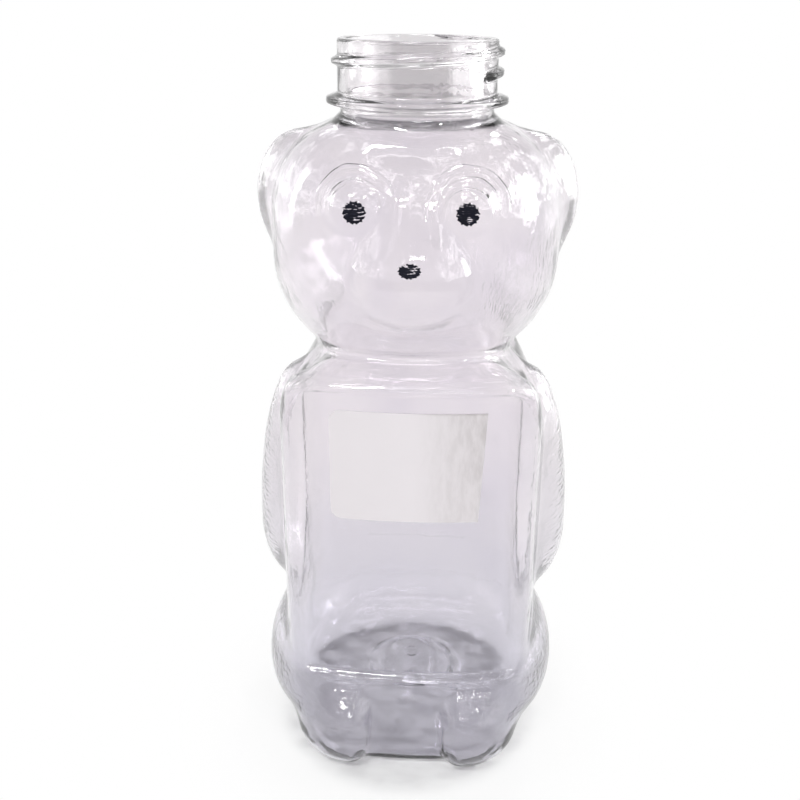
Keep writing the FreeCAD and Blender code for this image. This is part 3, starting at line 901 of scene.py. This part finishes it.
class BEAR_OT_prints(bpy.types.Operator):
    """Eyes and nose: ragged pads of black ink that lie on the face"""
    bl_idname = "bear.prints"
    bl_label = "Eyes and nose"

    def execute(self, context):
        form, prints = BearForm(), sizes("prints")
        ink = printed_ink()
        for count, node in enumerate(("left_eye", "right_eye", "nose")):
            low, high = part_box(node)
            bm = bmesh.new()
            bmesh.ops.create_grid(bm, x_segments=PRINT_CELLS, y_segments=PRINT_CELLS, size=1.0)
            u, v = np.array([vert.co[:2] for vert in bm.verts]).T
            across, up = u * np.sqrt(1 - v * v / 2), v * np.sqrt(1 - u * u / 2)
            round_to = np.arctan2(up, across)
            stray = np.sin(14 * round_to + count) + 0.6 * np.sin(23 * round_to + 2 * count)
            grow = 1 - prints.ragged * (0.5 - 0.31 * stray) * np.hypot(across, up) ** 6
            x = (low.x + high.x) / 2 + across * grow * (high.x - low.x) / 2
            z = (low.z + high.z) / 2 + up * grow * (high.z - low.z) / 2
            y = form.front_of(x, z, prints.ink_gap)
            for vert, place in zip(bm.verts, np.stack([x, y, z], -1)):
                vert.co = place
            bmesh.ops.recalc_face_normals(bm, faces=bm.faces)
            thicken(bm, prints.ink)
            finished(bm, "printed_" + node, node, ink)
        return {"FINISHED"}


class BEAR_OT_sticker(bpy.types.Operator):
    """Blank paper sticker that follows the front panel, its right edge cut on a slant"""
    bl_idname = "bear.sticker"
    bl_label = "Sticker"

    def execute(self, context):
        form, prints = BearForm(), sizes("prints")
        low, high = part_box("sticker")
        bm = bmesh.new()
        corners = (
            (low.x, 0, low.z), (high.x - prints.paper_slant, 0, low.z), (high.x, 0, high.z), (low.x, 0, high.z))
        verts = [bm.verts.new(corner) for corner in corners]
        bm.faces.new(verts)
        bmesh.ops.bevel(
            bm, geom=[verts[0], verts[3]], offset=prints.paper_corner, offset_type="OFFSET", segments=8,
            profile=0.5, affect="VERTICES", material=-1)
        for x in evenly(low.x, high.x, PAPER_STRIP)[1:]:
            whole = bm.verts[:] + bm.edges[:] + bm.faces[:]
            bmesh.ops.bisect_plane(bm, geom=whole, dist=1e-6, plane_co=(x, 0, 0), plane_no=(1, 0, 0))
        for vert in bm.verts:
            vert.co.y = form.panel_floor(vert.co.x, form.torso.panel_sink) - prints.glue
        thicken(bm, prints.paper)
        piece = finished(bm, "paper_sticker", "sticker", sticker_paper())
        piece.data.shade_flat()
        return {"FINISHED"}


def ray_kinds(shade, *outputs):
    """1 for rays of any of these kinds, otherwise 0."""
    found, *others = shade.node("ShaderNodeLightPath", output=outputs)
    for other in others:
        found = found.most(other)
    return found


def studio_floor():
    """White cloth that glows like the backdrop; masks round the bottle's footprint take the glow away and paint its
    shadow there on the lit cloth.
    """
    finish = sizes("finish")
    material, shade, (place, _, y, _) = new_material("studio_floor")
    grain = noise(place, 40.0, 4.0)
    tone = grain.between(opaque(finish.floor), opaque([0.97 * part for part in finish.floor]))
    cloth = shade.node("ShaderNodeBsdfDiffuse", {}, {"Color": tone})
    glow = shade.node("ShaderNodeEmission", {}, {"Color": (1, 1, 1, 1), "Strength": 1.0})
    footprint = place.reach((0, -0.0113, 0))
    # Painted shadow: a dark arc along the back of the base's footprint.
    rim = footprint.span((0.0265, 0.0304), (0.0318, 0.0304)) * y.within(-0.012, 0.004)
    # Mottle in the painted shadow under the base.
    shade_mottle = noise(stretched(place, (1.0, 2.2, 1.0)), 110.0, 4.0, 0.6).within(0.35, 0.65)
    # Painted shadow, darker towards the toes.
    toes = 0.16 * y.within(-0.018, -0.034)
    under = (0.26 + toes + 0.36 * shade_mottle) * footprint.within(0.035, 0.0285)
    # Painted shadow: under the base, a soft halo round it, and the dark arc.
    shaded = under + 0.17 * footprint.within(0.06, 0.03) + 0.3 * rim
    lit = shade.node("ShaderNodeMixShader", {}, {0: shaded, 1: glow, 2: cloth})
    seen = ray_kinds(shade, "Is Camera Ray", "Is Glossy Ray", "Is Transmission Ray")
    mixed = shade.node("ShaderNodeMixShader", {}, {0: seen, 1: cloth, 2: lit})
    shade.node("ShaderNodeOutputMaterial", {}, {"Surface": mixed})
    return material


def studio_world():
    """White backdrop; reflections see it dimmer overhead, with bright patches, and the rest is an even soft light."""
    world = bpy.data.worlds.new("studio")
    world.use_nodes = True
    tree = world.node_tree
    tree.nodes.clear()
    shade = Shade(tree)
    direction = shade.node("ShaderNodeTexCoord", output="Generated")
    across, _, height = direction.parts()
    ceiling = height.within(0.1, 0.6)
    glossy, through = ray_kinds(shade, "Is Glossy Ray"), ray_kinds(shade, "Is Transmission Ray")
    camera = ray_kinds(shade, "Is Camera Ray")
    clear = glossy.most(through)
    dim = 0.45 * ceiling * glossy.most(0.45 * through)
    room = noise(direction, 5.0, 3.0, 0.6).within(0.56, 0.64) * height.within(0.25, 0.45)
    sides = across.size().within(0.5, 0.8) * height.span((-0.2, 0.0), (0.5, 0.35))
    panes = sides * noise(stretched(direction, (1.0, 1.0, 2.0)), 6.0, 3.0, 0.6).within(0.46, 0.58)
    bright = (1.0 + 2.2 * across.within(-0.5, -0.2)) * room + (1.5 + 1.0 * (across > 0.0)) * panes
    level = camera + (1 - camera) * (clear * (1 - dim) + glossy * bright + (1 - clear) * 0.4)
    sky = shade.node("ShaderNodeBackground", {}, {"Color": (1, 1, 1, 1), "Strength": level})
    shade.node("ShaderNodeOutputWorld", {}, {"Surface": sky})
    bpy.context.scene.world = world


def area_light(name, place, width, depth, power):
    data = bpy.data.lights.new(name, "AREA")
    data.shape = "RECTANGLE"
    data.size, data.size_y = width, depth
    data.energy = power
    lamp = bpy.data.objects.new(name, data)
    lamp.location = place
    lamp.rotation_euler = (Vector(MIDDLE) - Vector(place)).to_track_quat("-Z", "Y").to_euler()
    bpy.context.scene.collection.objects.link(lamp)


class BEAR_OT_stage(bpy.types.Operator):
    """Pale floor, soft studio light and the camera"""
    bl_idname = "bear.stage"
    bl_label = "Stage"

    def execute(self, context):
        bm = bmesh.new()
        bmesh.ops.create_circle(bm, cap_ends=True, segments=96, radius=FLOOR_RADIUS)
        mesh = bpy.data.meshes.new("floor")
        bm.to_mesh(mesh)
        bm.free()
        mesh.materials.append(studio_floor())
        floor = bpy.data.objects.new("floor", mesh)
        floor.location.z = -FLOOR_DROP
        context.scene.collection.objects.link(floor)
        studio_world()
        for name, settings in LAMPS.items():
            area_light(name, *settings)
        self.camera(context)
        context.scene.view_settings.view_transform = "Standard"
        return {"FINISHED"}

    def camera(self, context):
        """Camera of the photograph: place, aim and lens in its own 800 by 800 frame."""
        distance, round_by, height = 0.21543, math.radians(1.927), 0.1745
        pitch, yaw, roll = math.radians(21.174), math.radians(2.848), math.radians(0.323)
        focal, centre_row = 956.46, 360
        data = bpy.data.cameras.new("camera")
        data.sensor_width = 36
        data.lens = focal / PICTURE * data.sensor_width
        data.shift_y = centre_row / PICTURE - 0.5
        data.clip_start, data.clip_end = 0.01, 20
        camera = bpy.data.objects.new("camera", data)
        aim = Matrix.Rotation(yaw, 4, "Z") @ Matrix.Rotation(math.pi / 2 - pitch, 4, "X")
        place = (distance * math.sin(round_by), -distance * math.cos(round_by), height)
        camera.matrix_world = Matrix.Translation(place) @ aim @ Matrix.Rotation(roll, 4, "Z")
        context.scene.collection.objects.link(camera)
        context.scene.camera = camera


class BEAR_PT_panel(bpy.types.Panel):
    """Lists the pieces of the bottle in the order in which they are made"""
    bl_idname = "BEAR_PT_panel"
    bl_label = "Bear Bottle"
    bl_space_type = "VIEW_3D"
    bl_region_type = "UI"
    bl_category = "Bear Bottle"

    def draw(self, context):
        for operator in OPERATORS:
            self.layout.operator(operator.bl_idname)


GROUPS = {
    "torso": TorsoSizes, "limbs": LimbSizes, "head": HeadSizes, "neck": NeckSizes,
    "prints": PrintSizes, "counts": MeshCounts, "finish": Finishes,
}
OPERATORS = (BEAR_OT_bottle, BEAR_OT_prints, BEAR_OT_sticker, BEAR_OT_stage)
CLASSES = (*GROUPS.values(), *OPERATORS, BEAR_PT_panel)


def register():
    for item in CLASSES:
        bpy.utils.register_class(item)
    for name, group in GROUPS.items():
        setattr(bpy.types.Scene, "bear_" + name, PointerProperty(type=group))


def unregister():
    for name in GROUPS:
        delattr(bpy.types.Scene, "bear_" + name)
    for item in reversed(CLASSES):
        bpy.utils.unregister_class(item)


def main():
    register()
    bpy.ops.bear.bottle()
    bpy.ops.bear.prints()
    bpy.ops.bear.sticker()
    bpy.ops.bear.stage()


if __name__ == "__main__":
    main()
